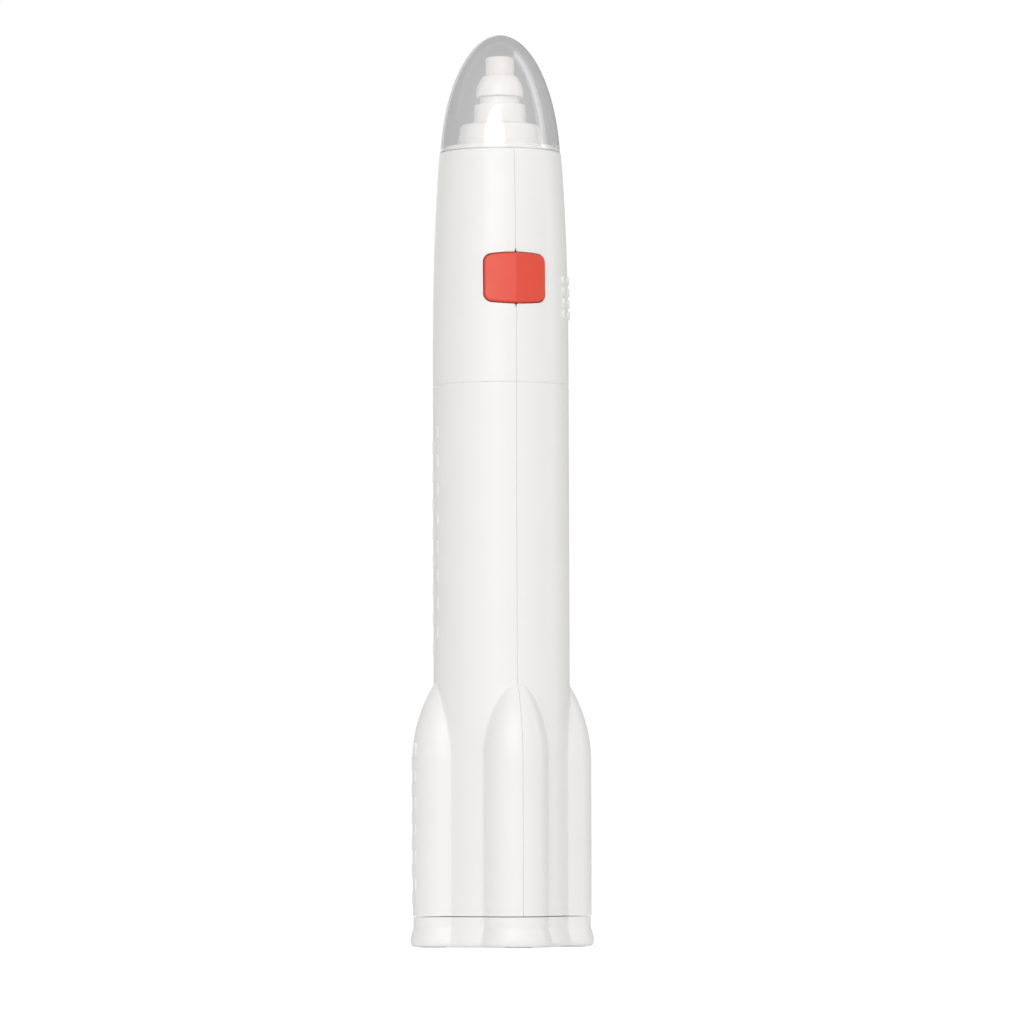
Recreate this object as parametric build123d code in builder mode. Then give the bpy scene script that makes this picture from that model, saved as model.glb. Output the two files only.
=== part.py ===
"""Rocket-shaped electric eraser: two shells with four boosters, clear nose cap, chuck, motor and cells.

Millimetres, +Z up. The origin is the centre of the flat underside. The button and the seam face -Y.
"""

from build123d import *
from math import sqrt
import os

# ---- driving dimensions -------------------------------------------------------------------------
total_height = 160.0
wall = 1.45

# Levels of the outer joints.
base_rim_z = 5.3
shell_bottom_z = 5.44
shell_top_z = 139.0
cap_rim_z = 139.06

# Body of revolution, with a gentle taper towards the shoulder.
body_radius = 11.9
shoulder_radius = 10.7
shoulder_rounding = 0.3
taper_start_z = 101.0
taper_power = 2.4
throat_z = 134.0
groove_z = 98.0
groove_depth = 0.16

# Boosters, at four places round the body.
booster_count = 4
booster_offset = 10.2
booster_radius = 5.7
booster_nose_z = 32.4
booster_nose_arc = 25.3
valley_radius = 0.45
valley_top_z = 48.0
band_z = 34.6
band_height = 0.16
band_depth = 0.07

# Ribs inside the shells: height and bore of each.
rib_thickness = 1.2
rib_root = 0.3
tube_ribs = ((20.0, 6.65), (58.0, 6.65), (80.0, 6.65))
plate_ribs = ((95.5, 8.8), (98.75, 8.8), (130.6, 8.2))
motor_ribs = ((106.0, 4.15), (118.0, 6.7))
motor_rib_gap = 0.1
window_y = 5.2

# Pegs that join the shells, on the split plane.
peg_radius = 0.7
peg_length = 1.6
peg_boss_radius = 1.25
peg_boss_depth = 2.4
peg_places = [(side * y, z) for y, z in ((13.7, 12), (9.3, 66), (9.3, 90), (9.2, 126)) for side in (-1, 1)]

# Side relief of plain dashes on the left flank and the left booster.
dash_length = 2.3
dash_width = 0.9
dash_height = 0.13
dash_pitch = 5.0
dash_rows = 8
dash_low_z = 52.2
dash_angle = 7.0
booster_dash_pitch = 4.7
booster_dash_rows = 6
booster_dash_low_z = 8.6
booster_dash_angle = 10.0

# Base cap.
base_floor = 1.6
base_rounding = 0.95
base_inset = 0.12
base_flare = ((3.5, -0.12), (3.0, -0.02), (2.35, 0.19), (1.65, 0.34), (1.0, 0.38))
pad_width = 4.0
pad_height = 0.15
pad_offset = 12.4
plug_radius = 10.2
plug_wall = 1.2
plug_top_z = 9.0

# Seam and button.
seam_gap = 0.04
button_width = 10.8
button_height = 8.8
button_side_height = 7.9
button_z = 116.15
button_corner = 1.35
button_gap = 0.15
button_crest_y = 12.3
button_side_y = 11.0
button_bow = 0.12
button_ridge = 0.5
button_edge = 0.35
flange_radius = 9.95
flange_thickness = 0.95
flange_margin = 0.8
nick_width = 0.5
nick_rise = 0.75

# Grip dots on the right flank.
dot_radius = 0.82
dot_height = 0.28
dot_pitch = 2.0
dot_rows = 4
dot_columns = 5
dot_mid_z = 113.4
dot_step_angle = 17.0

# Nose cap.
cap_radius = 10.64
cap_centre_z = 136.0
cap_wall = 1.2
cap_socket_radius = 9.4
cap_socket_z = 140.3

# Nozzle.
running_gap = 0.05
spigot_radius = 9.25
spigot_top_z = 140.0
plate_step_z = 141.8
bush_top_z = 143.9
bush_bottom_z = 132.0
bush_flange_radius = 9.55
bush_wall = 1.2
plate_radius = 7.1
plate_step = 0.3
plate_rounding = 0.8
shank_radius = 3.6
collar_radius = 4.55
collar_bottom_z = 144.05
collar_top_z = 147.5
neck_radius = 3.5
jaw_top_z = 151.65
jaw_tip_radius = 2.95
jaw_slits = 4
slit_width = 0.7
bore_radius = 2.56
bore_bottom_z = 128.3
chuck_bottom_z = 123.9
refill_radius = 2.5
refill_top_z = 155.85
refill_length = 22.0
nut_radius = 4.15
nut_tip_radius = 3.05
nut_band = 0.8
nut_bottom_z = 148.8
nut_top_z = 152.45

# Motor: a small can with flats front and back.
motor_bottom_z = 102.0
motor_can_z = 104.4
motor_top_z = 122.0
motor_radius = 7.75
motor_flats = 12.1
can_wall = 0.6
boss_radius = 3.0
boss_height = 1.4
shaft_radius = 1.0
shaft_top_z = 127.4
magnet_radius = 5.25
magnet_length = 13.0
magnet_half_height = 4.2
armature_radius = 4.95
armature_z = 108.5
armature_length = 8.5
winding_overhang = 1.3
slot_centre = 3.1
slot_length = 4.0
slot_width = 1.9
commutator_radius = 1.9
terminal_x = 5.2
terminal_length = 2.0

# Cells: two AAA, end to end, in a tube under the bulkhead.
cell_radius = 5.2
cell_length = 44.5
cell_gap = 0.05
cell_bottom_z = 6.6
nipple_radius = 1.9
nipple_height = 0.9
tube_radius = 5.6
tube_wall = 0.9
tube_bottom_z = 9.6
bulkhead_z = 96.9
bulkhead_thickness = 1.7
pocket_radius = 5.0
pocket_depth = 0.6

# Contacts and the return strip.
sheet = 0.3
tab_x = 8.0
tab_width = 2.4
tab_rise = 2.5
strip_y = 6.95
strip_width = 3.0
strip_bottom_z = 7.2
strip_top_z = 99.9
spring_seat_radius = 4.5
spring_seat_height = 1.2
spring_wire = 0.25
spring_radius = 3.2
spring_pitch = 1.1
spring_turns = 3.5
arm_y = 4.0
arm_reach = 7.3
arm_crest_z = 3.4
arm_top_z = 8.6

# Leaf switch.
board_y = 6.3
board_thickness = 0.6
board_width = 8.0
board_bottom_z = 105.0
board_top_z = 121.5
leaf = 0.2
leaf_width = 3.0
plunger_radius = 1.0
plunger_z = 113.8
plunger_tip_y = 8.72

# Hook-up wires.
wire_radius = 0.4
wire_bend = 0.8


def write(piece, label):
    """Label a finished piece and export it."""
    piece.part.label = label
    export_step(piece.part, f"parts/{label}.step")


def lobed_outline(grow):
    """The round body with its four boosters in plan, every side moved out by grow."""
    with BuildSketch() as outline:
        Circle(body_radius + grow)
        with PolarLocations(booster_offset, booster_count):
            Circle(booster_radius + grow)
        reach = body_radius + grow
        valleys = outline.vertices().filter_by(lambda v: abs(Vector(v.X, v.Y).length - reach) < 0.01)
        fillet(valleys, valley_radius)
    return outline.sketch


def radius_at(z):
    """Outer radius of the body of revolution at height z, close enough to seat small details."""
    rise = max(0.0, z - taper_start_z) / (shell_top_z - taper_start_z)
    return body_radius - (body_radius - shoulder_radius) * rise**taper_power


def body_profile(inset, bottom_z, top_z):
    """Half section of the tapering body of revolution, moved in by inset."""
    side = body_radius - inset
    levels = [taper_start_z + (top_z - taper_start_z) * step / 4 for step in range(1, 5)]
    taper = [(radius_at(z) - inset, z) for z in levels]
    with BuildSketch(Plane.XZ) as section:
        with BuildLine():
            Polyline((0, top_z), (0, bottom_z), (side, bottom_z), (side, taper_start_z))
            Spline((side, taper_start_z), *taper, tangents=((0, 1), (-0.08, 1)))
            Line(taper[-1], (0, top_z))
        make_face()
    return section.sketch


def booster_body(shrink, bottom_z):
    """One booster about its own axis: a cylinder with an ogive nose, all sides moved in by shrink."""
    arc_radius = booster_nose_arc - shrink
    centre_x = booster_radius - booster_nose_arc
    tip_z = booster_nose_z + sqrt(arc_radius**2 - centre_x**2)
    mid_z = (booster_nose_z + tip_z) / 2
    mid_x = centre_x + sqrt(arc_radius**2 - (mid_z - booster_nose_z) ** 2)
    with BuildPart() as body:
        with BuildSketch(Plane.XZ):
            with BuildLine():
                Polyline((0, tip_z), (0, bottom_z), (booster_radius - shrink, bottom_z))
                Line((booster_radius - shrink, bottom_z), (booster_radius - shrink, booster_nose_z))
                ThreePointArc((booster_radius - shrink, booster_nose_z), (mid_x, mid_z), (0, tip_z))
            make_face()
        revolve(axis=Axis.Z)
    return body.part


def rib_outline(z):
    """Outline of a rib at height z, its edge sunk a little into the shell walls."""
    with BuildSketch() as outline:
        Circle(radius_at(z) - wall + rib_root)
        if z < booster_nose_z:
            with PolarLocations(booster_offset, booster_count):
                Circle(booster_radius - wall + rib_root)
    return outline.sketch


def bent_strip(points, thickness, bend, width):
    """A thin bent strip across the seam plane, from its centre line given as (y, z) points."""
    with BuildPart() as strip:
        with BuildSketch(Plane.YZ.offset(-width / 2)):
            with BuildLine():
                FilletPolyline(*points, radius=bend)
            trace(line_width=thickness)
        extrude(amount=width)
    return strip.part


def button_outline(grow):
    """Outline of the button: upright sides, bowed ends and rounded corners, moved out by grow."""
    side = button_width / 2 + grow
    high = button_side_height / 2 + grow
    crown = button_height / 2 + grow
    with BuildSketch() as outline:
        with BuildLine():
            ThreePointArc((-side, high), (0, crown), (side, high))
            Line((side, high), (side, -high))
            ThreePointArc((side, -high), (0, -crown), (-side, -high))
            Line((-side, -high), (-side, high))
        make_face()
        fillet(outline.vertices(), button_corner + grow)
    return outline.sketch


def motor_section(shrink):
    """Round motor outline with flats facing front and back."""
    with BuildSketch() as section:
        Circle(motor_radius - shrink)
        Rectangle(2 * motor_radius, motor_flats - 2 * shrink, mode=Mode.INTERSECT)
    return section.sketch


os.makedirs("parts", exist_ok=True)

# ---- body shells --------------------------------------------------------------------------------
plain_booster = booster_body(0, shell_bottom_z)
hollow_booster = booster_body(wall, shell_bottom_z - 1)

with BuildPart() as housing:
    add(body_profile(0, shell_bottom_z, shell_top_z))
    revolve(axis=Axis.Z)
    with PolarLocations(booster_offset, booster_count):
        add(plain_booster)
    low_edges = housing.edges().filter_by(lambda e: shell_bottom_z + 1 < e.center().Z < valley_top_z)
    valley_edges = low_edges.filter_by(lambda e: 11 < Vector(e.center().X, e.center().Y).length < 13.5)
    fillet(valley_edges, valley_radius)
    fillet(housing.faces().sort_by(Axis.Z)[-1].edges(), shoulder_rounding)
    # Cavity: body core, boosters, and the narrower throat that holds the bush.
    add(body_profile(wall, shell_bottom_z - 1, throat_z))
    revolve(axis=Axis.Z, mode=Mode.SUBTRACT)
    with PolarLocations(booster_offset, booster_count):
        add(hollow_booster, mode=Mode.SUBTRACT)
    with BuildSketch(Plane.XY.offset(throat_z - 1)):
        Circle(spigot_radius + 0.1)
    extrude(amount=shell_top_z - throat_z + 2, mode=Mode.SUBTRACT)
    # Half-ring ribs that hold the battery tube, the bulkhead and the bush.
    for rib_z, rib_bore in tube_ribs + plate_ribs:
        with BuildSketch(Plane.XY.offset(rib_z)):
            add(rib_outline(rib_z))
            Circle(rib_bore, mode=Mode.SUBTRACT)
        extrude(amount=rib_thickness)
    # Ribs that carry the motor, with a window in front for the switch.
    for rib_z, window_half_width in motor_ribs:
        with BuildSketch(Plane.XY.offset(rib_z)):
            add(rib_outline(rib_z))
            add(motor_section(-motor_rib_gap), mode=Mode.SUBTRACT)
            with Locations((0, -window_y)):
                Rectangle(2 * window_half_width, 4, align=(Align.CENTER, Align.MAX), mode=Mode.SUBTRACT)
        extrude(amount=rib_thickness)
    # Slot through the lower ribs for the return strip.
    with BuildSketch(Plane.XY.offset(strip_bottom_z)):
        with Locations((0, -strip_y)):
            Rectangle(strip_width + 1, 2)
    extrude(amount=strip_top_z - strip_bottom_z, mode=Mode.SUBTRACT)
    # Opening for the button, with a small nick where the seam meets it above and below.
    with BuildSketch(Plane.XZ.offset(7)):
        with Locations((0, button_z)):
            add(button_outline(button_gap))
            nick_z = button_height / 2 + button_gap
            nick_foot_z = nick_z - nick_rise / 4
            nick_side = nick_width / 2
            nick_tip_z = nick_z + nick_rise
            Polygon((0, nick_tip_z), (-nick_side, nick_foot_z), (nick_side, nick_foot_z), align=None)
            Polygon((0, -nick_tip_z), (nick_side, -nick_foot_z), (-nick_side, -nick_foot_z), align=None)
    extrude(amount=8, mode=Mode.SUBTRACT)
    # Groove round the body, and the faint parting band across the boosters.
    with BuildSketch(Plane.XZ):
        with Locations((body_radius, groove_z)):
            Rectangle(1.42 * groove_depth, 1.42 * groove_depth, rotation=45)
    revolve(axis=Axis.Z, mode=Mode.SUBTRACT)
    with BuildSketch(Plane.XY.offset(band_z)):
        add(lobed_outline(1))
        add(lobed_outline(-band_depth), mode=Mode.SUBTRACT)
    extrude(amount=band_height, mode=Mode.SUBTRACT)

# One grip dot, standing on the +X axis at the origin's height.
with BuildPart() as grip_dot:
    Cylinder(dot_radius, 1 + dot_height, rotation=(0, 90, 0), align=(Align.CENTER, Align.CENTER, Align.MAX))
    fillet(grip_dot.faces().sort_by(Axis.X)[-1].edges(), dot_height - 0.03)

# One raised dash of the side relief, standing on the +X axis, long side upright.
with BuildPart() as relief_dash:
    with BuildSketch(Plane.YZ):
        SlotOverall(dash_length, dash_width, rotation=90)
    extrude(amount=-0.8)
    fillet(relief_dash.faces().sort_by(Axis.X)[-1].edges(), dash_height - 0.02)

with BuildPart() as left_shell:
    add(housing.part)
    split(bisect_by=Plane.YZ.offset(-seam_gap / 2), keep=Keep.BOTTOM)
    # Side relief on the body: two columns of dashes, staggered by half a pitch.
    for column, angle in enumerate((-dash_angle, dash_angle)):
        for row in range(dash_rows):
            z = dash_low_z + (row + column / 2) * dash_pitch
            with Locations(Location((0, 0, z), (0, 0, 180 + angle))):
                with Locations((body_radius + dash_height, 0, 0)):
                    add(relief_dash.part)
    # The same relief, smaller, on the crest of the left booster.
    for column, angle in enumerate((-booster_dash_angle, booster_dash_angle)):
        for row in range(booster_dash_rows):
            z = booster_dash_low_z + (row + column / 2) * booster_dash_pitch
            with Locations(Location((-booster_offset, 0, z), (0, 0, 180 + angle))):
                with Locations((booster_radius + dash_height, 0, 0)):
                    add(relief_dash.part)
    # Pegs that locate the right shell.
    for peg_y, peg_z in peg_places:
        with BuildSketch(Plane.YZ.offset(-seam_gap / 2 - peg_boss_depth)):
            with Locations((peg_y, peg_z)):
                Circle(peg_boss_radius)
        extrude(amount=peg_boss_depth)
        with BuildSketch(Plane.YZ.offset(-seam_gap / 2)):
            with Locations((peg_y, peg_z)):
                Circle(peg_radius)
        extrude(amount=peg_length)

with BuildPart() as right_shell:
    add(housing.part)
    split(bisect_by=Plane.YZ.offset(seam_gap / 2), keep=Keep.TOP)
    # Grip dots: rows and columns centred on the flank.
    for row in range(dot_rows):
        z = dot_mid_z + (row - (dot_rows - 1) / 2) * dot_pitch
        for column in range(dot_columns):
            angle = (column - (dot_columns - 1) / 2) * dot_step_angle
            with Locations(Location((0, 0, z), (0, 0, angle))):
                with Locations((radius_at(z) + dot_height, 0, 0)):
                    add(grip_dot.part)
    # Sockets for the pegs.
    for peg_y, peg_z in peg_places:
        with BuildSketch(Plane.YZ.offset(seam_gap / 2)):
            with Locations((peg_y, peg_z)):
                Circle(peg_boss_radius)
        extrude(amount=peg_boss_depth)
        with BuildSketch(Plane.YZ.offset(seam_gap / 2)):
            with Locations((peg_y, peg_z)):
                Circle(peg_radius + running_gap)
        extrude(amount=peg_length + 0.2, mode=Mode.SUBTRACT)

write(left_shell, "left_shell")
write(right_shell, "right_shell")

# ---- base cap -----------------------------------------------------------------------------------
with BuildPart() as base_cap:
    waist_z = base_flare[0][0]
    foot_z, foot_flare = base_flare[-1]
    for flare_z, flare in base_flare:
        with BuildSketch(Plane.XY.offset(flare_z)):
            add(lobed_outline(flare))
    loft()
    with BuildSketch(Plane.XY.offset(waist_z)):
        add(lobed_outline(-base_inset))
    extrude(amount=base_rim_z - waist_z)
    with BuildSketch(Plane.XY.offset(foot_z)):
        add(lobed_outline(foot_flare))
    extrude(amount=-foot_z)
    fillet(base_cap.faces().sort_by(Axis.Z)[0].edges(), base_rounding)
    # Underside relieved round five standing pads.
    with BuildSketch():
        Circle(2 * booster_offset)
        Rectangle(pad_width, pad_width, mode=Mode.SUBTRACT)
        with PolarLocations(pad_offset, booster_count):
            Rectangle(pad_width, pad_width, mode=Mode.SUBTRACT)
    extrude(amount=pad_height, mode=Mode.SUBTRACT)
    # Hollow above the floor, then the plug ring that pushes into the body.
    with BuildSketch(Plane.XY.offset(base_floor)):
        add(lobed_outline(-wall))
    extrude(amount=base_rim_z, mode=Mode.SUBTRACT)
    with BuildSketch(Plane.XY.offset(base_floor)):
        Circle(plug_radius)
        Circle(plug_radius - plug_wall, mode=Mode.SUBTRACT)
    extrude(amount=plug_top_z - base_floor)
    # Seat for the negative spring.
    with BuildSketch(Plane.XY.offset(base_floor)):
        Circle(spring_seat_radius + 0.8)
        Circle(spring_seat_radius, mode=Mode.SUBTRACT)
    extrude(amount=spring_seat_height)

with BuildPart() as negative_plate:
    with BuildSketch(Plane.XY.offset(base_floor + 0.05)):
        Circle(spring_seat_radius - 0.1)
    extrude(amount=sheet)
    # Arm over the seat's rim to the return strip.
    arm_z = base_floor + 0.05 + sheet / 2
    arm_foot = (-arm_y / 2, arm_z), (-arm_y, arm_z)
    arm_rise = (-arm_y, arm_crest_z), (-arm_reach, arm_crest_z), (-arm_reach, arm_top_z)
    add(bent_strip(arm_foot + arm_rise, sheet, 0.25, strip_width))

with BuildPart() as negative_spring:
    with BuildLine() as coil:
        Helix(
            pitch=spring_pitch,
            height=spring_pitch * spring_turns,
            radius=spring_radius,
            center=(0, 0, base_floor + 0.1 + sheet + 1.2 * spring_wire),
            cone_angle=-6,
        )
    with BuildSketch(Plane(origin=coil.line @ 0, z_dir=coil.line % 0)):
        Circle(spring_wire)
    sweep()

write(base_cap, "base_cap")
write(negative_plate, "negative_plate")
write(negative_spring, "negative_spring")

# ---- cells, battery tube and contacts -----------------------------------------------------------
with BuildPart() as battery_tube:
    with BuildSketch(Plane.XY.offset(tube_bottom_z)):
        Circle(tube_radius + tube_wall)
        Circle(tube_radius, mode=Mode.SUBTRACT)
    extrude(amount=bulkhead_z - 0.2 - tube_bottom_z)
    chamfer(battery_tube.edges().group_by(Axis.Z)[0].sort_by(SortBy.RADIUS)[0], 0.4)

write(battery_tube, "battery_tube")

cell_places = {"battery_lower": cell_bottom_z, "battery_upper": cell_bottom_z + cell_length + cell_gap}
for cell_name, cell_z in cell_places.items():
    with BuildPart() as cell:
        with BuildSketch(Plane.XZ):
            with BuildLine():
                FilletPolyline(
                    (0, cell_z),
                    (cell_radius, cell_z),
                    (cell_radius, cell_z + cell_length - nipple_height),
                    (nipple_radius, cell_z + cell_length - nipple_height),
                    (nipple_radius, cell_z + cell_length),
                    (0, cell_z + cell_length),
                    radius=0.3,
                )
                Line((0, cell_z + cell_length), (0, cell_z))
            make_face()
        revolve(axis=Axis.Z)
    write(cell, cell_name)

with BuildPart() as bulkhead:
    with BuildSketch(Plane.XY.offset(bulkhead_z)):
        Circle(body_radius - wall - 0.1)
        # Slots for the positive tab and the return strip.
        with Locations((tab_x, 0)):
            Rectangle(1.2, tab_width + 0.6, mode=Mode.SUBTRACT)
        with Locations((0, -strip_y)):
            Rectangle(strip_width + 0.6, 1.2, mode=Mode.SUBTRACT)
    extrude(amount=bulkhead_thickness)
    # Pocket underneath that seats the positive contact.
    with BuildSketch(Plane.XY.offset(bulkhead_z)):
        Circle(pocket_radius)
        Rectangle(tab_x + 0.6, tab_width + 0.6, align=(Align.MIN, Align.CENTER))
    extrude(amount=pocket_depth, mode=Mode.SUBTRACT)

with BuildPart() as positive_contact:
    contact_z = bulkhead_z + pocket_depth - sheet - 0.05
    with BuildSketch(Plane.XY.offset(contact_z)):
        Circle(pocket_radius - 0.3)
        Rectangle(tab_x + sheet / 2, tab_width, align=(Align.MIN, Align.CENTER))
    extrude(amount=sheet)
    with Locations((tab_x, 0, contact_z)):
        Box(sheet, tab_width, tab_rise, align=(Align.CENTER, Align.CENTER, Align.MIN))
    # Dimple that meets the cell.
    dimple_z = cell_bottom_z + 2 * cell_length + 2 * cell_gap
    with BuildSketch(Plane.XY.offset(dimple_z)):
        Circle(1.6)
    extrude(amount=contact_z - dimple_z)

with BuildPart() as return_strip:
    with BuildSketch(Plane.XZ.offset(strip_y - sheet / 2)):
        with Locations((0, (strip_bottom_z + strip_top_z) / 2)):
            RectangleRounded(strip_width, strip_top_z - strip_bottom_z, 0.6)
    extrude(amount=sheet)

write(bulkhead, "bulkhead")
write(positive_contact, "positive_contact")
write(return_strip, "return_strip")

# ---- motor --------------------------------------------------------------------------------------
with BuildPart() as motor_can:
    with BuildSketch(Plane.XY.offset(motor_can_z)):
        add(motor_section(0))
    extrude(amount=motor_top_z - motor_can_z)
    fillet(motor_can.faces().sort_by(Axis.Z)[-1].edges(), 0.6)
    with BuildSketch(Plane.XY.offset(motor_can_z)):
        add(motor_section(can_wall))
    extrude(amount=motor_top_z - motor_can_z - can_wall, mode=Mode.SUBTRACT)
    with Locations((0, 0, motor_top_z)):
        Cylinder(boss_radius - 1, 4, mode=Mode.SUBTRACT)

with BuildPart() as motor_bearing:
    with BuildSketch(Plane.XZ):
        with BuildLine():
            Polyline(
                (shaft_radius + 0.03, motor_top_z - can_wall),
                (boss_radius - 1.05, motor_top_z - can_wall),
                (boss_radius - 1.05, motor_top_z + 0.05),
                (boss_radius, motor_top_z + 0.05),
                (boss_radius, motor_top_z + boss_height),
                (shaft_radius + 0.03, motor_top_z + boss_height),
                close=True,
            )
        make_face()
    revolve(axis=Axis.Z)

with BuildPart() as motor_end_cap:
    with BuildSketch(Plane.XY.offset(motor_bottom_z)):
        add(motor_section(0.1))
    extrude(amount=motor_can_z - 0.05 - motor_bottom_z)
    with Locations((0, 0, motor_can_z)):
        Cylinder(shaft_radius + 0.03, 3.2, mode=Mode.SUBTRACT)
    chamfer(motor_end_cap.faces().sort_by(Axis.Z)[0].outer_wire().edges(), 0.4)

with BuildPart() as motor_terminals:
    with Locations((terminal_x, 0, motor_bottom_z - 0.02), (-terminal_x, 0, motor_bottom_z - 0.02)):
        Box(sheet, 2, terminal_length, align=(Align.CENTER, Align.CENTER, Align.MAX))

with BuildPart() as motor_magnets:
    with BuildSketch(Plane.XY.offset(motor_can_z + 1.6)):
        Circle(motor_radius - can_wall - 0.05)
        Circle(magnet_radius, mode=Mode.SUBTRACT)
        Rectangle(3 * motor_radius, 2 * magnet_half_height, mode=Mode.INTERSECT)
    extrude(amount=magnet_length)

with BuildPart() as motor_brushes:
    brush_y = commutator_radius + 0.25
    with Locations((0, brush_y, motor_can_z + 1), (0, -brush_y, motor_can_z + 1)):
        Box(1.6, 0.3, 1.9)

with BuildPart() as motor_shaft:
    with BuildSketch(Plane.XY.offset(motor_bottom_z + 0.9)):
        Circle(shaft_radius)
    extrude(amount=shaft_top_z - motor_bottom_z - 0.9)
    chamfer(motor_shaft.edges(), 0.15)

with BuildPart() as commutator:
    with BuildSketch(Plane.XY.offset(motor_can_z + 0.2)):
        Circle(commutator_radius)
        Circle(shaft_radius + 0.01, mode=Mode.SUBTRACT)
        with PolarLocations(commutator_radius, 3):
            Rectangle(0.7, 0.3, mode=Mode.SUBTRACT)
    extrude(amount=1.7)

with BuildPart() as armature_core:
    with BuildSketch(Plane.XY.offset(armature_z)):
        Circle(armature_radius)
        Circle(shaft_radius + 0.01, mode=Mode.SUBTRACT)
        with PolarLocations(slot_centre, 3):
            SlotOverall(slot_length, slot_width, rotation=90, mode=Mode.SUBTRACT)
            Rectangle(2 * slot_width, 0.6, align=(Align.MIN, Align.CENTER), mode=Mode.SUBTRACT)
    extrude(amount=armature_length)

with BuildPart() as armature_windings:
    with BuildSketch(Plane.XY.offset(armature_z - winding_overhang)):
        with PolarLocations(slot_centre, 3):
            SlotOverall(slot_length - 0.1, slot_width - 0.1, rotation=90)
    extrude(amount=armature_length + 2 * winding_overhang)
    fillet(armature_windings.faces().filter_by(Axis.Z).edges(), 0.4)

write(motor_can, "motor_can")
write(motor_bearing, "motor_bearing")
write(motor_end_cap, "motor_end_cap")
write(motor_terminals, "motor_terminals")
write(motor_magnets, "motor_magnets")
write(motor_brushes, "motor_brushes")
write(motor_shaft, "motor_shaft")
write(commutator, "commutator")
write(armature_core, "armature_core")
write(armature_windings, "armature_windings")

# ---- button and leaf switch ---------------------------------------------------------------------
with BuildPart() as button:
    with BuildSketch(Plane.XZ.offset(flange_radius - 3)):
        with Locations((0, button_z)):
            add(button_outline(0))
    extrude(amount=6)
    # Crowned face: two gently bowed sides that meet in a soft upright ridge on the seam.
    side_x = button_width / 2 + 0.1
    bow_y = (button_crest_y + button_side_y) / 2 + button_bow
    with BuildSketch(Plane.XY.offset(button_z - button_height)):
        with BuildLine():
            ThreePointArc((-side_x, -button_side_y), (-side_x / 2, -bow_y), (0, -button_crest_y))
            ThreePointArc((0, -button_crest_y), (side_x / 2, -bow_y), (side_x, -button_side_y))
            Polyline((side_x, -button_side_y), (side_x, 0), (-side_x, 0), (-side_x, -button_side_y))
        make_face()
    extrude(amount=2 * button_height, mode=Mode.INTERSECT)
    fillet(button.edges().filter_by(Axis.Z).sort_by(Axis.Y)[0], button_ridge)
    bowed = button.faces().filter_by(lambda face: face.center().Y < -button_side_y)
    middle_lines = bowed.edges().filter_by(Axis.Z).filter_by_position(Axis.X, -button_corner, button_corner)
    fillet([edge for edge in bowed.edges() if edge not in middle_lines], button_edge)
    # Curved flange that keeps the button behind the shell wall.
    with BuildSketch(Plane.XY.offset(button_z - button_height / 2 - flange_margin)):
        Circle(flange_radius)
        with Locations((0, -flange_radius)):
            Rectangle(button_width + 2 * flange_margin, flange_radius, mode=Mode.INTERSECT)
    extrude(amount=button_height + 2 * flange_margin)
    with BuildSketch(Plane.XY.offset(button_z - button_height)):
        Circle(flange_radius - flange_thickness)
    extrude(amount=2 * button_height, mode=Mode.SUBTRACT)
    # Plunger that works the leaf.
    with BuildSketch(Plane.XZ.offset(plunger_tip_y)):
        with Locations((0, plunger_z)):
            Circle(plunger_radius)
    extrude(amount=flange_radius - flange_thickness / 2 - plunger_tip_y)

with BuildPart() as switch_board:
    with BuildSketch(Plane.XZ.offset(board_y)):
        with Locations((0, (board_bottom_z + board_top_z) / 2)):
            RectangleRounded(board_width, board_top_z - board_bottom_z, 0.5)
    extrude(amount=board_thickness)

board_face_y = board_y + board_thickness
with BuildPart() as switch_leaf_fixed:
    foot_y = -board_face_y - leaf / 2
    fixed_points = (foot_y, 108.4), (foot_y, 109.8), (foot_y - 0.45, 111.0), (foot_y - 0.45, 118.0)
    add(bent_strip(fixed_points, leaf, 0.4, leaf_width))

with BuildPart() as switch_leaf_moving:
    blade_y = -plunger_tip_y + 0.17
    moving_points = (foot_y, 121.0), (foot_y, 119.6), (blade_y, 118.9), (blade_y, 111.0)
    add(bent_strip(moving_points, leaf, 0.3, leaf_width))

write(button, "button")
write(switch_board, "switch_board")
write(switch_leaf_fixed, "switch_leaf_fixed")
write(switch_leaf_moving, "switch_leaf_moving")

# ---- hook-up wires ------------------------------------------------------------------------------
wire_y = board_face_y + wire_radius + 0.05
wire_routes = {
    "wire_positive": ((7.3, 0, 99.3), (7.3, 3.2, 99.6), (5.8, 3.6, 100.9), (5.8, 0.4, 101.1)),
    "wire_switch": ((-5.8, 0.4, 101.1), (-5.9, -4.2, 100.6), (-3.0, -wire_y, 101.8), (-3.0, -wire_y, 107.6)),
    "wire_return": ((0.9, -7.6, 99.4), (0.9, -7.6, 101.4), (2.9, -wire_y, 103.4), (2.9, -wire_y, 107.6)),
}
for wire_name, route in wire_routes.items():
    with BuildPart() as wire:
        with BuildLine() as path:
            FilletPolyline(*route, radius=wire_bend)
        with BuildSketch(Plane(origin=path.line @ 0, z_dir=path.line % 0)):
            Circle(wire_radius)
        sweep()
    write(wire, wire_name)

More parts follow.
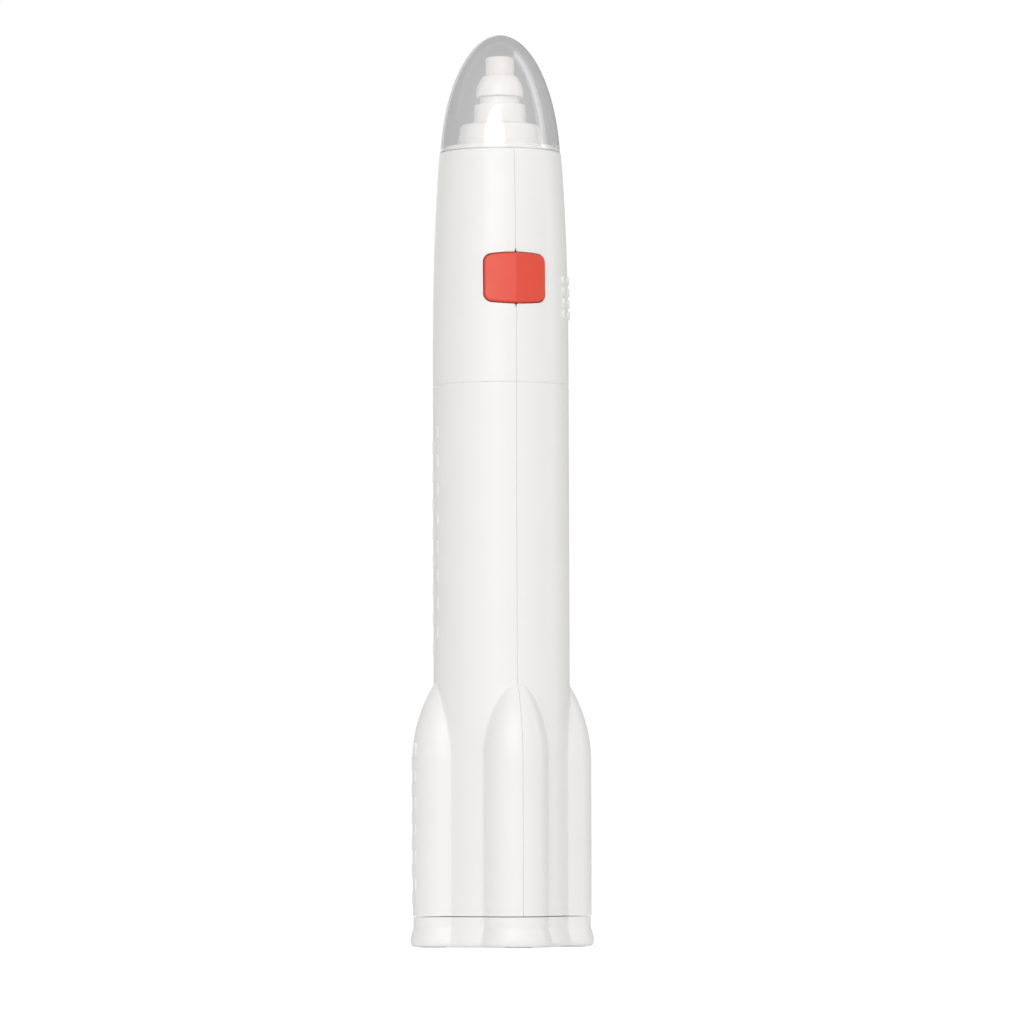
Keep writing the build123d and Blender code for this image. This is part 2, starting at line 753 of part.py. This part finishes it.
# ---- nozzle -------------------------------------------------------------------------------------
with BuildPart() as nose_bush:
    with BuildSketch(Plane.XZ):
        with BuildLine():
            Polyline(
                (shank_radius + running_gap, bush_bottom_z),
                (shank_radius + running_gap, bush_top_z),
                (plate_radius, bush_top_z),
                (plate_radius, plate_step_z),
                (plate_radius + plate_step, plate_step_z),
                (plate_radius + plate_step, spigot_top_z),
                (spigot_radius, spigot_top_z),
                (spigot_radius, throat_z - 0.15),
                (bush_flange_radius, throat_z - 0.15),
                (bush_flange_radius, bush_bottom_z),
                (spigot_radius - bush_wall, bush_bottom_z),
                (spigot_radius - bush_wall, spigot_top_z - bush_wall),
                (shank_radius + bush_wall, spigot_top_z - bush_wall),
                (shank_radius + bush_wall, bush_bottom_z),
                close=True,
            )
        make_face()
    revolve(axis=Axis.Z)
    top_edges = nose_bush.edges().filter_by(GeomType.CIRCLE).group_by(Axis.Z)[-1]
    fillet(top_edges.sort_by(SortBy.RADIUS)[-1], plate_rounding)
    round_edges = nose_bush.edges().filter_by(GeomType.CIRCLE)
    spigot_edges = round_edges.filter_by(lambda edge: abs(edge.arc_center.Z - spigot_top_z) < 0.01)
    fillet(spigot_edges.sort_by(SortBy.RADIUS)[-1], 0.25)

with BuildPart() as chuck_body:
    with BuildSketch(Plane.XZ):
        with BuildLine():
            Polyline(
                (0, bore_bottom_z),
                (0, shaft_top_z + 0.1),
                (shaft_radius, shaft_top_z + 0.1),
                (shaft_radius, chuck_bottom_z),
                (shank_radius, chuck_bottom_z),
                (shank_radius, collar_bottom_z),
                (collar_radius, collar_bottom_z),
                (collar_radius, collar_top_z),
                (neck_radius, collar_top_z),
                (neck_radius, nut_bottom_z + 0.3),
                (jaw_tip_radius, jaw_top_z),
                (bore_radius, jaw_top_z),
                (bore_radius, bore_bottom_z),
                close=True,
            )
        make_face()
    revolve(axis=Axis.Z)
    chuck_edges = chuck_body.edges().filter_by(GeomType.CIRCLE)
    fillet(chuck_edges.filter_by(lambda edge: abs(edge.radius - collar_radius) < 0.01), 0.3)
    # Slits that let the jaws close on the refill.
    with BuildSketch(Plane.XY.offset(nut_bottom_z + 0.1)):
        with PolarLocations(0, jaw_slits):
            Rectangle(2 * neck_radius, slit_width, align=(Align.MIN, Align.CENTER))
    extrude(amount=jaw_top_z - nut_bottom_z, mode=Mode.SUBTRACT)

with BuildPart() as collet_nut:
    with BuildSketch(Plane.XZ):
        with BuildLine():
            Polyline(
                (neck_radius + running_gap, nut_bottom_z + 0.35),
                (neck_radius + running_gap, nut_bottom_z),
                (nut_radius, nut_bottom_z),
                (nut_radius, nut_bottom_z + nut_band),
            )
            ThreePointArc(
                (nut_radius, nut_bottom_z + nut_band),
                (nut_radius - 0.35, (nut_bottom_z + nut_band + nut_top_z) / 2 + 0.1),
                (nut_tip_radius, nut_top_z),
            )
            Polyline(
                (nut_tip_radius, nut_top_z),
                (bore_radius + running_gap, nut_top_z),
                (bore_radius + running_gap, jaw_top_z + 0.1),
                (jaw_tip_radius + running_gap, jaw_top_z + 0.1),
                (neck_radius + running_gap, nut_bottom_z + 0.35),
            )
        make_face()
    revolve(axis=Axis.Z)
    nut_edges = collet_nut.edges().filter_by(GeomType.CIRCLE).group_by(Axis.Z)
    fillet(nut_edges[0].sort_by(SortBy.RADIUS)[-1], 0.2)
    fillet(nut_edges[-1].sort_by(SortBy.RADIUS)[-1], 0.15)

with BuildPart() as eraser_refill:
    with BuildSketch(Plane.XY.offset(refill_top_z - refill_length)):
        Circle(refill_radius)
    extrude(amount=refill_length)
    fillet(eraser_refill.faces().sort_by(Axis.Z)[-1].edges(), 0.45)
    chamfer(eraser_refill.faces().sort_by(Axis.Z)[0].edges(), 0.2)

with BuildPart() as nose_cap:
    with BuildSketch(Plane.XZ):
        with Locations((0, cap_centre_z)):
            Ellipse(cap_radius, total_height - cap_centre_z)
            Ellipse(cap_radius - cap_wall, total_height - cap_centre_z - cap_wall, mode=Mode.SUBTRACT)
        with Locations((0, cap_rim_z)):
            Rectangle(2 * cap_radius, 2 * cap_radius + 4, align=(Align.MIN, Align.MIN), mode=Mode.INTERSECT)
            socket_height = cap_socket_z - cap_rim_z
            Rectangle(cap_socket_radius, socket_height, align=(Align.MIN, Align.MIN), mode=Mode.SUBTRACT)
    revolve(axis=Axis.Z)
    fillet(nose_cap.faces().sort_by(Axis.Z)[0].edges(), 0.2)

write(nose_bush, "nose_bush")
write(chuck_body, "chuck_body")
write(collet_nut, "collet_nut")
write(eraser_refill, "eraser_refill")
write(nose_cap, "nose_cap")
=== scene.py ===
"""Looks of the rocket-shaped electric eraser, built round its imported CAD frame. Metres."""

from math import cos, pi, radians, sin

import bmesh
import bpy
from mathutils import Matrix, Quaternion, Vector

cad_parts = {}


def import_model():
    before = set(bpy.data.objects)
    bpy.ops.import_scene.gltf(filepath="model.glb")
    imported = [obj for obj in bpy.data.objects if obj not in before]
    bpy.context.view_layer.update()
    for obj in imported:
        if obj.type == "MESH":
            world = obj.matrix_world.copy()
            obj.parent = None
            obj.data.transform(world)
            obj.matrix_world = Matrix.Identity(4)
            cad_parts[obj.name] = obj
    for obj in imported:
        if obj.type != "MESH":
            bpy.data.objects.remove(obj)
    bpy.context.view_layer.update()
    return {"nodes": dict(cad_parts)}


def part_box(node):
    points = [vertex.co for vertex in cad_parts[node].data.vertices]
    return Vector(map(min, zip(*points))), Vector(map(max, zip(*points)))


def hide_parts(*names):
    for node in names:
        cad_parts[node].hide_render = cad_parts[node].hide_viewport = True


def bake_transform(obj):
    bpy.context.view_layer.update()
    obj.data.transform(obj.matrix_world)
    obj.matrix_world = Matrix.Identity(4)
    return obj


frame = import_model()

MM = 0.001
FROST_DEPTH = 0.9 * MM
RIM_CLEARNESS = 0.6

# Where a cell's sleeve starts and ends, along the cell.
FOOT_END = 0.012
SLEEVE_END = 0.965


# ---- materials ----------------------------------------------------------------------------------
class Shader:
    """A new material's node tree, with short calls for the nodes used here."""

    def __init__(self, name):
        self.material = bpy.data.materials.new(name)
        self.material.use_nodes = True
        self.tree = self.material.node_tree
        self.bsdf = self.tree.nodes["Principled BSDF"]
        self.where = self.node("ShaderNodeTexCoord").outputs["Object"]

    def node(self, kind, **sockets):
        """A node with its input sockets set."""
        made = self.tree.nodes.new(kind)
        for name, value in sockets.items():
            made.inputs[name.replace("_", " ")].default_value = value
        return made

    def link(self, a, b):
        self.tree.links.new(a, b)

    def set(self, **sockets):
        """Constants on the shader's own sockets."""
        for name, value in sockets.items():
            self.bsdf.inputs[name.replace("_", " ")].default_value = value

    def noise(self, scale, detail=2.0, stretch=None):
        """Noise over the object, scale in features per metre."""
        made = self.node("ShaderNodeTexNoise", Scale=scale, Detail=detail)
        source = self.where
        if stretch:
            mapping = self.node("ShaderNodeMapping", Scale=stretch)
            self.link(source, mapping.inputs["Vector"])
            source = mapping.outputs["Vector"]
        self.link(source, made.inputs["Vector"])
        return made.outputs["Fac"]

    def ramp(self, source, *stops):
        """A colour ramp with (place, colour) stops."""
        made = self.node("ShaderNodeValToRGB")
        self.link(source, made.inputs["Fac"])
        elements = made.color_ramp.elements
        while len(elements) < len(stops):
            elements.new(0.5)
        for element, (place, colour) in zip(elements, stops):
            element.position = place
            element.color = (*colour, 1) if len(colour) == 3 else colour
        return made.outputs["Color"]

    def spread(self, source, low, high):
        """source from 0.3..0.7 spread over low..high."""
        made = self.node("ShaderNodeMapRange")
        made.inputs["From Min"].default_value = 0.3
        made.inputs["From Max"].default_value = 0.7
        made.inputs["To Min"].default_value = low
        made.inputs["To Max"].default_value = high
        self.link(source, made.inputs["Value"])
        return made.outputs["Result"]

    def colour(self, source, *stops):
        """Base colour from a ramp with (place, colour) stops."""
        self.link(self.ramp(source, *stops), self.bsdf.inputs["Base Color"])

    def bump(self, height, depth, after=None):
        """Full-strength bump of the given depth in metres, on top of an earlier one."""
        made = self.node("ShaderNodeBump", Strength=1.0, Distance=depth)
        self.link(height, made.inputs["Height"])
        if after:
            self.link(after, made.inputs["Normal"])
        self.link(made.outputs["Normal"], self.bsdf.inputs["Normal"])
        return made.outputs["Normal"]


def tint(colour, factor):
    return tuple(min(1.0, channel * factor) for channel in colour)


def moulded_plastic(name, colour, roughness, grain=0.0, depth=4e-6):
    """Injection-moulded plastic: faint flow mottling, a slightly uneven gloss and a low, wavy surface."""
    shader = Shader(name)
    shader.set(IOR=1.49)
    mottle = shader.noise(90, 3.0)
    shader.colour(mottle, (0.3, tint(colour, 0.985)), (0.7, colour))
    gloss = shader.noise(350, 4.0)
    shader.link(shader.spread(gloss, roughness * 0.85, roughness * 1.15), shader.bsdf.inputs["Roughness"])
    waves = shader.bump(shader.noise(220, 1.0), depth)
    if grain:
        shader.bump(shader.noise(6000, 2.0), grain, after=waves)
    return shader.material


def clear_plastic(name, rim):
    """Clear polystyrene, finely scuffed, frosted at its lower rim. Shadow and diffuse rays pass."""
    shader = Shader(name)
    shader.set(IOR=1.59, Base_Color=(0.98, 0.982, 0.982, 1))
    path = shader.node("ShaderNodeLightPath")
    lit = shader.node("ShaderNodeMath")
    lit.operation = "MAXIMUM"
    shader.link(path.outputs["Is Shadow Ray"], lit.inputs[0])
    shader.link(path.outputs["Is Diffuse Ray"], lit.inputs[1])
    mix = shader.node("ShaderNodeMixShader")
    shader.link(lit.outputs[0], mix.inputs[0])
    shader.link(shader.bsdf.outputs[0], mix.inputs[1])
    shader.link(shader.node("ShaderNodeBsdfTransparent").outputs[0], mix.inputs[2])
    shader.link(mix.outputs[0], shader.tree.nodes["Material Output"].inputs["Surface"])
    haze = shader.noise(900, 4.0)
    shader.link(shader.spread(haze, 0.05, 0.08), shader.bsdf.inputs["Roughness"])
    rise = shader.node("ShaderNodeSeparateXYZ")
    shader.link(shader.where, rise.inputs["Vector"])
    clearness = shader.node("ShaderNodeMapRange")
    clearness.inputs["From Min"].default_value = rim
    clearness.inputs["From Max"].default_value = rim + FROST_DEPTH
    clearness.inputs["To Min"].default_value = RIM_CLEARNESS
    shader.link(rise.outputs["Z"], clearness.inputs["Value"])
    shader.link(clearness.outputs["Result"], shader.bsdf.inputs["Transmission Weight"])
    shader.bump(shader.noise(160, 1.0), 3e-6)
    return shader.material


def eraser_rubber(name, colour):
    """Soft vinyl eraser: fine pores, a powdery bloom and rubbed patches."""
    shader = Shader(name)
    shader.set(IOR=1.5, Sheen_Weight=0.25, Sheen_Roughness=0.5, Subsurface_Weight=0.15)
    shader.set(Subsurface_Radius=(0.002, 0.0018, 0.0015), Subsurface_Scale=0.5)
    patches = shader.noise(500, 4.0)
    shader.colour(patches, (0.35, tint(colour, 0.95)), (0.65, colour))
    shader.link(shader.spread(shader.noise(2500, 3.0), 0.7, 0.9), shader.bsdf.inputs["Roughness"])
    pores = shader.bump(shader.noise(5200, 4.0), 18e-6)
    shader.bump(shader.noise(900, 2.0), 12e-6, after=pores)
    return shader.material


def metal(name, colour, roughness, stretch=(1, 1, 1), scale=2500, depth=3e-6):
    """Metal with drawn or rolled marks along one way."""
    shader = Shader(name)
    shader.set(Metallic=1.0)
    grain = shader.noise(scale, 4.0, stretch)
    shader.colour(grain, (0.3, tint(colour, 0.85)), (0.7, colour))
    shader.link(shader.spread(grain, roughness * 0.7, roughness * 1.3), shader.bsdf.inputs["Roughness"])
    shader.bump(grain, depth)
    return shader.material


def cell_jacket(name, low, high):
    """Shrink sleeve on an AAA cell between bare nickel ends, with plain bands and no lettering."""
    shader = Shader(name)
    rise = shader.node("ShaderNodeSeparateXYZ")
    shader.link(shader.where, rise.inputs["Vector"])
    along = shader.node("ShaderNodeMapRange")
    along.inputs["From Min"].default_value = low
    along.inputs["From Max"].default_value = high
    shader.link(rise.outputs["Z"], along.inputs["Value"])
    steel, dark, orange = (0.62, 0.62, 0.6), (0.03, 0.035, 0.045), (0.62, 0.3, 0.12)
    bands = shader.ramp(
        along.outputs["Result"],
        (0.0, steel),
        (FOOT_END, dark),
        (0.66, orange),
        (0.7, dark),
        (0.72, orange),
        (SLEEVE_END, steel),
    )
    bands.node.color_ramp.interpolation = "CONSTANT"
    shader.link(bands, shader.bsdf.inputs["Base Color"])
    bare = shader.ramp(
        along.outputs["Result"], (0.0, (1, 1, 1)), (FOOT_END, (0, 0, 0)), (SLEEVE_END, (1, 1, 1))
    )
    bare.node.color_ramp.interpolation = "CONSTANT"
    shader.link(bare, shader.bsdf.inputs["Metallic"])
    shader.link(shader.spread(shader.noise(1200, 3.0), 0.22, 0.36), shader.bsdf.inputs["Roughness"])
    shader.bump(shader.noise(1500, 3.0), 5e-6)
    return shader.material


def dress(material, *nodes):
    """Give CAD nodes or pieces this material in every slot."""
    for node in nodes:
        thing = frame["nodes"][node] if isinstance(node, str) else node
        if not thing.material_slots:
            thing.data.materials.append(material)
        for place in thing.material_slots:
            place.material = material


WHITE = (0.922, 0.915, 0.90)
RED = (0.80, 0.062, 0.028)
RUBBER = (0.92, 0.885, 0.855)

white = moulded_plastic("white_plastic", WHITE, 0.36, grain=1.2e-6)
white_inner = moulded_plastic("white_nozzle_plastic", (0.93, 0.912, 0.897), 0.3)
red = moulded_plastic("red_plastic", RED, 0.32, grain=2e-6, depth=3e-6)
natural = moulded_plastic("natural_plastic", (0.82, 0.8, 0.74), 0.45, grain=2e-6)
black = moulded_plastic("black_plastic", (0.02, 0.02, 0.02), 0.4, grain=2e-6)
board_green = moulded_plastic("board", (0.03, 0.16, 0.06), 0.3)
clear = clear_plastic("clear_plastic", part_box("nose_cap")[0][2])
rubber = eraser_rubber("eraser_rubber", RUBBER)
brass = metal("sheet_brass", (0.78, 0.56, 0.25), 0.28, (1, 1, 0.05))
zinc = metal("zinc_steel", (0.62, 0.62, 0.6), 0.35, (0.2, 0.2, 1))
shaft = metal("shaft_steel", (0.7, 0.7, 0.7), 0.15, (0.2, 0.2, 3))
ferrite = metal("magnet_ferrite", (0.05, 0.05, 0.055), 0.6)
core = metal("core_steel", (0.3, 0.3, 0.31), 0.45, (0.02, 0.02, 8))
copper = metal("copper_wire", (0.72, 0.3, 0.14), 0.3, (1, 1, 6))
red_sleeve = moulded_plastic("red_sleeve", (0.55, 0.02, 0.015), 0.4)
black_sleeve = moulded_plastic("black_sleeve", (0.015, 0.015, 0.015), 0.4)

dress(white, "left_shell", "right_shell", "base_cap")
dress(white_inner, "nose_bush", "chuck_body", "collet_nut")
dress(clear, "nose_cap")
dress(rubber, "eraser_refill")
dress(red, "button")
dress(natural, "battery_tube", "bulkhead")
dress(board_green, "switch_board")
dress(black, "motor_end_cap")
dress(brass, "positive_contact", "negative_plate", "return_strip", "switch_leaf_fixed", "switch_leaf_moving")
dress(brass, "motor_bearing", "motor_terminals", "motor_brushes")
dress(zinc, "motor_can", "negative_spring")
dress(shaft, "motor_shaft")
dress(ferrite, "motor_magnets")
dress(core, "armature_core")
dress(copper, "armature_windings", "commutator")
dress(red_sleeve, "wire_positive")
dress(black_sleeve, "wire_switch", "wire_return")
for cell in ("battery_lower", "battery_upper"):
    low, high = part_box(cell)
    dress(cell_jacket(f"jacket_{cell}", low[2], high[2]), cell)


# ---- switch leaf --------------------------------------------------------------------------------
# How finely the leaf is cut: cuts per long edge, and the longest edge left uncut.
LEAF_CUTS = 12
LONGEST_UNCUT_EDGE = 2 * MM


def bending_leaf():
    """The switch's moving leaf, cut fine enough to bend."""
    piece = bpy.data.objects.new("bending_leaf", frame["nodes"]["switch_leaf_moving"].data.copy())
    bpy.context.collection.objects.link(piece)
    shape = bmesh.new()
    shape.from_mesh(piece.data)
    blade_edges = [edge for edge in shape.edges if edge.calc_length() > LONGEST_UNCUT_EDGE]
    bmesh.ops.subdivide_edges(shape, edges=blade_edges, cuts=LEAF_CUTS, use_grid_fill=True)
    bmesh.ops.triangulate(shape, faces=shape.faces)
    shape.to_mesh(piece.data)
    shape.free()
    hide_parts("switch_leaf_moving")
    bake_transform(piece)
    dress(brass, piece)


bending_leaf()


# ---- floor, world, lights and camera ------------------------------------------------------------
FLOOR_GLOW_SEEN = 0.55
FLOOR_GLOW_UNSEEN = 0.12
BACKDROP_LEVEL = 1.02
REAR_LEVEL = 0.48
FRONT_LEVEL = 1.39
FRONT_EDGE = 0.86


def floor():
    """A plain white floor, wide enough for every view. It shows brighter than it lights the object."""
    half = 3.0
    corners = [(-half, -half, 0), (half, -half, 0), (half, half, 0), (-half, half, 0)]
    mesh = bpy.data.meshes.new("floor")
    mesh.from_pydata(corners, [], [(0, 1, 2, 3)])
    piece = bpy.data.objects.new("floor", mesh)
    bpy.context.collection.objects.link(piece)
    shader = Shader("floor")
    shader.set(Base_Color=(0.85, 0.85, 0.85, 1), Roughness=0.9, Specular_IOR_Level=0.0)
    shader.set(Emission_Color=(1, 1, 1, 1))
    glow = shader.node("ShaderNodeMapRange")
    glow.inputs["To Min"].default_value = FLOOR_GLOW_UNSEEN
    glow.inputs["To Max"].default_value = FLOOR_GLOW_SEEN
    shader.link(shader.node("ShaderNodeLightPath").outputs["Is Camera Ray"], glow.inputs["Value"])
    shader.link(glow.outputs["Result"], shader.bsdf.inputs["Emission Strength"])
    mesh.materials.append(shader.material)


VIEW_TURN = radians(-13.3)
FACING = Vector((-sin(VIEW_TURN), cos(VIEW_TURN), 0))
RIGHT = Vector((cos(VIEW_TURN), sin(VIEW_TURN), 0))


def world():
    """White to the camera; for lighting, bright in front of the object and dimmer behind and beside it."""
    made = bpy.data.worlds.new("studio")
    bpy.context.scene.world = made
    made.use_nodes = True
    tree = made.node_tree
    tree.nodes.clear()
    link = tree.links.new
    where = tree.nodes.new("ShaderNodeTexCoord").outputs["Generated"]
    towards = tree.nodes.new("ShaderNodeVectorMath")
    towards.operation = "DOT_PRODUCT"
    towards.inputs[1].default_value = -FACING
    link(where, towards.inputs[0])
    level = tree.nodes.new("ShaderNodeMapRange")
    level.interpolation_type = "SMOOTHSTEP"
    level.inputs["From Min"].default_value = 0.0
    level.inputs["From Max"].default_value = FRONT_EDGE
    level.inputs["To Min"].default_value = REAR_LEVEL
    level.inputs["To Max"].default_value = FRONT_LEVEL
    link(towards.outputs["Value"], level.inputs["Value"])
    soft = tree.nodes.new("ShaderNodeBackground")
    soft.inputs["Color"].default_value = (1, 1, 1, 1)
    link(level.outputs["Result"], soft.inputs["Strength"])
    backdrop = tree.nodes.new("ShaderNodeBackground")
    backdrop.inputs["Color"].default_value = (1, 1, 1, 1)
    backdrop.inputs["Strength"].default_value = BACKDROP_LEVEL
    seen = tree.nodes.new("ShaderNodeLightPath").outputs["Is Camera Ray"]
    mix = tree.nodes.new("ShaderNodeMixShader")
    link(seen, mix.inputs[0])
    link(soft.outputs[0], mix.inputs[1])
    link(backdrop.outputs[0], mix.inputs[2])
    output = tree.nodes.new("ShaderNodeOutputWorld")
    link(mix.outputs[0], output.inputs["Surface"])


def softbox(name, shape, turn, height, distance, width, tall, glow, lights_walls=False):
    """An area light of the given radiance, turned from the camera's direction.

    It makes highlights alone, or with lights_walls lights surfaces too and isn't seen through clear plastic.
    """
    light = bpy.data.lights.new(name, "AREA")
    light.shape = shape
    light.size = width
    light.size_y = tall
    area = width * tall * (pi / 4 if shape == "ELLIPSE" else 1)
    light.energy = glow * pi * area
    lamp = bpy.data.objects.new(name, light)
    bpy.context.collection.objects.link(lamp)
    out = -FACING * cos(turn) + RIGHT * sin(turn)
    lamp.location = out * distance + Vector((0, 0, height))
    aim = Vector((0, 0, 0.09)) - lamp.location
    lamp.rotation_euler = aim.to_track_quat("-Z", "Y").to_euler()
    lamp.visible_camera = False
    lamp.visible_diffuse = lights_walls
    lamp.visible_transmission = not lights_walls


def camera():
    """Low camera a metre away, looking slightly up, as the photograph was taken."""
    distance, height, focal = 1.05, 0.017, 0.2110
    aim_z, aside, roll = 0.0760, 0.0019, radians(-0.18)
    data = bpy.data.cameras.new("camera")
    data.sensor_width = 36
    data.lens = focal / MM
    data.clip_start = 0.01
    made = bpy.data.objects.new("camera", data)
    bpy.context.collection.objects.link(made)
    made.location = -FACING * distance + RIGHT * aside + Vector((0, 0, height))
    aim = RIGHT * aside + Vector((0, 0, aim_z)) - made.location
    made.rotation_euler = (aim.to_track_quat("-Z", "Y") @ Quaternion((0, 0, 1), roll)).to_euler()
    bpy.context.scene.camera = made


floor()
world()
softbox("right_strip", "RECTANGLE", radians(96), 0.55, 0.8, 0.24, 1.2, 1.8)
softbox("front_disc", "ELLIPSE", radians(-11), 0.38, 0.95, 0.72, 0.52, 2.2)
softbox("rear_fill", "RECTANGLE", radians(200), 0.5, 1.0, 0.6, 0.6, 0.6, lights_walls=True)
camera()
bpy.context.scene.view_settings.view_transform = "Standard"
